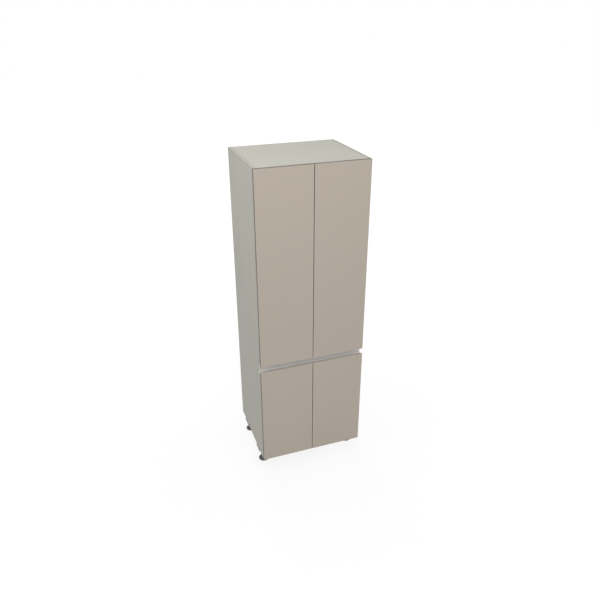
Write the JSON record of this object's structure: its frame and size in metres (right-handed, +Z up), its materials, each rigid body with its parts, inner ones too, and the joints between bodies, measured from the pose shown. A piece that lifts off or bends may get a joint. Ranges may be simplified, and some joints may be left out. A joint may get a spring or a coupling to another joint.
{
  "type": "tall utility cabinet",
  "caption": "Tall freestanding utility cabinet with upper and lower pairs of handleless doors, an aluminium finger channel between them and adjustable feet.",
  "frame": {"origin": "on the floor, at the middle of the cabinet's width and of its depth with the doors closed", "axes": "+Z up, +Y from the door fronts to the back, +X to the right as seen from the front"},
  "size_m": [0.762, 0.6306, 2.286],
  "materials": {
    "board": "matte melamine, warm light grey",
    "door_front": "matte laminate, warm light grey",
    "aluminium_profile": "satin anodised",
    "zinc_steel": "zinc plated",
    "nickel_steel": "nickel plated",
    "dark_plastic": "dark grey, fine grain",
    "beech": "plain wood",
    "clear_rubber": "soft, clear"
  },
  "bodies": {
    "carcass": {"left_side_panel": "board", "right_side_panel": "board", "bottom_panel": "board", "top_panel": "board", "fixed_shelf": "board", "back_panel": "board", "back_rail_bottom": "board", "back_rail_middle": "board", "back_rail_top": "board", "shelf_1": "board", "shelf_2": "board", "shelf_3": "board", "shelf_4": "board", "shelf_5": "board", "shelf_pins": "zinc_steel", "handle_channel": "aluminium_profile", "channel_brackets": "zinc_steel", "panel_screws": "zinc_steel", "cam_locks": "zinc_steel", "cam_bolts": "zinc_steel", "dowels": "beech", "leg_sockets": "dark_plastic", "hinge_arms": "nickel_steel", "hinge_plates": "nickel_steel", "hinge_screws": "zinc_steel", "hinge_arm_pins": "zinc_steel"},
    "foot_front_left": {"foot_front_left": "dark_plastic"},
    "foot_front_right": {"foot_front_right": "dark_plastic"},
    "foot_back_left": {"foot_back_left": "dark_plastic"},
    "foot_back_right": {"foot_back_right": "dark_plastic"},
    "lower_left_leaf": {"lower_left_door": "door_front", "lower_left_hinge_cups": "nickel_steel", "lower_left_cup_screws": "zinc_steel", "lower_left_cup_pins": "zinc_steel", "lower_left_bumpers": "clear_rubber"},
    "lower_left_long_link_body": {"lower_left_long_links": "nickel_steel"},
    "lower_left_short_link_body": {"lower_left_short_links": "nickel_steel"},
    "lower_right_leaf": {"lower_right_door": "door_front", "lower_right_hinge_cups": "nickel_steel", "lower_right_cup_screws": "zinc_steel", "lower_right_cup_pins": "zinc_steel", "lower_right_bumpers": "clear_rubber"},
    "lower_right_long_link_body": {"lower_right_long_links": "nickel_steel"},
    "lower_right_short_link_body": {"lower_right_short_links": "nickel_steel"},
    "upper_left_leaf": {"upper_left_door": "door_front", "upper_left_hinge_cups": "nickel_steel", "upper_left_cup_screws": "zinc_steel", "upper_left_cup_pins": "zinc_steel", "upper_left_bumpers": "clear_rubber"},
    "upper_left_long_link_body": {"upper_left_long_links": "nickel_steel"},
    "upper_left_short_link_body": {"upper_left_short_links": "nickel_steel"},
    "upper_right_leaf": {"upper_right_door": "door_front", "upper_right_hinge_cups": "nickel_steel", "upper_right_cup_screws": "zinc_steel", "upper_right_cup_pins": "zinc_steel", "upper_right_bumpers": "clear_rubber"},
    "upper_right_long_link_body": {"upper_right_long_links": "nickel_steel"},
    "upper_right_short_link_body": {"upper_right_short_links": "nickel_steel"}
  },
  "joints": [
    {"name": "foot_front_left_height", "type": "slide", "parent": "carcass", "child": "foot_front_left", "axis": [0, 0, -1], "range_m": [-0.012, 0.02]},
    {"name": "foot_front_right_height", "type": "slide", "parent": "carcass", "child": "foot_front_right", "axis": [0, 0, -1], "range_m": [-0.012, 0.02]},
    {"name": "foot_back_left_height", "type": "slide", "parent": "carcass", "child": "foot_back_left", "axis": [0, 0, -1], "range_m": [-0.012, 0.02]},
    {"name": "foot_back_right_height", "type": "slide", "parent": "carcass", "child": "foot_back_right", "axis": [0, 0, -1], "range_m": [-0.012, 0.02]},
    {"name": "lower_left_door_turn", "type": "hinge", "parent": "lower_left_long_link_body", "child": "lower_left_leaf", "pos_m": [-0.3709, -0.29865, 0.4965], "axis": [0, 0, -1], "range_deg": [0, 150.8]},
    {"name": "lower_left_long_link_turn", "type": "hinge", "parent": "carcass", "child": "lower_left_long_link_body", "pos_m": [-0.3391, -0.2819, 0.4965], "axis": [0, 0, 1], "range_deg": [0, 50.8]},
    {"name": "lower_left_short_link_turn", "type": "hinge", "parent": "carcass", "child": "lower_left_short_link_body", "pos_m": [-0.3369, -0.2926, 0.4965], "axis": [0, 0, 1], "range_deg": [0, 56.8]},
    {"name": "lower_right_door_turn", "type": "hinge", "parent": "lower_right_long_link_body", "child": "lower_right_leaf", "pos_m": [0.3709, -0.29865, 0.4965], "axis": [0, 0, 1], "range_deg": [0, 150.8]},
    {"name": "lower_right_long_link_turn", "type": "hinge", "parent": "carcass", "child": "lower_right_long_link_body", "pos_m": [0.3391, -0.2819, 0.4965], "axis": [0, 0, -1], "range_deg": [0, 50.8]},
    {"name": "lower_right_short_link_turn", "type": "hinge", "parent": "carcass", "child": "lower_right_short_link_body", "pos_m": [0.3369, -0.2926, 0.4965], "axis": [0, 0, -1], "range_deg": [0, 56.8]},
    {"name": "upper_left_door_turn", "type": "hinge", "parent": "upper_left_long_link_body", "child": "upper_left_leaf", "pos_m": [-0.3709, -0.29865, 1.605], "axis": [0, 0, -1], "range_deg": [0, 150.8]},
    {"name": "upper_left_long_link_turn", "type": "hinge", "parent": "carcass", "child": "upper_left_long_link_body", "pos_m": [-0.3391, -0.2819, 1.605], "axis": [0, 0, 1], "range_deg": [0, 50.8]},
    {"name": "upper_left_short_link_turn", "type": "hinge", "parent": "carcass", "child": "upper_left_short_link_body", "pos_m": [-0.3369, -0.2926, 1.605], "axis": [0, 0, 1], "range_deg": [0, 56.8]},
    {"name": "upper_right_door_turn", "type": "hinge", "parent": "upper_right_long_link_body", "child": "upper_right_leaf", "pos_m": [0.3709, -0.29865, 1.605], "axis": [0, 0, 1], "range_deg": [0, 150.8]},
    {"name": "upper_right_long_link_turn", "type": "hinge", "parent": "carcass", "child": "upper_right_long_link_body", "pos_m": [0.3391, -0.2819, 1.605], "axis": [0, 0, -1], "range_deg": [0, 50.8]},
    {"name": "upper_right_short_link_turn", "type": "hinge", "parent": "carcass", "child": "upper_right_short_link_body", "pos_m": [0.3369, -0.2926, 1.605], "axis": [0, 0, -1], "range_deg": [0, 56.8]}
  ],
  "couplings": [
    {"joint": "lower_left_long_link_turn", "follows": "lower_left_door_turn", "ratio": 0.33687},
    {"joint": "lower_left_short_link_turn", "follows": "lower_left_door_turn", "ratio": 0.37666},
    {"joint": "lower_right_long_link_turn", "follows": "lower_right_door_turn", "ratio": 0.33687},
    {"joint": "lower_right_short_link_turn", "follows": "lower_right_door_turn", "ratio": 0.37666},
    {"joint": "upper_left_long_link_turn", "follows": "upper_left_door_turn", "ratio": 0.33687},
    {"joint": "upper_left_short_link_turn", "follows": "upper_left_door_turn", "ratio": 0.37666},
    {"joint": "upper_right_long_link_turn", "follows": "upper_right_door_turn", "ratio": 0.33687},
    {"joint": "upper_right_short_link_turn", "follows": "upper_right_door_turn", "ratio": 0.37666}
  ]
}
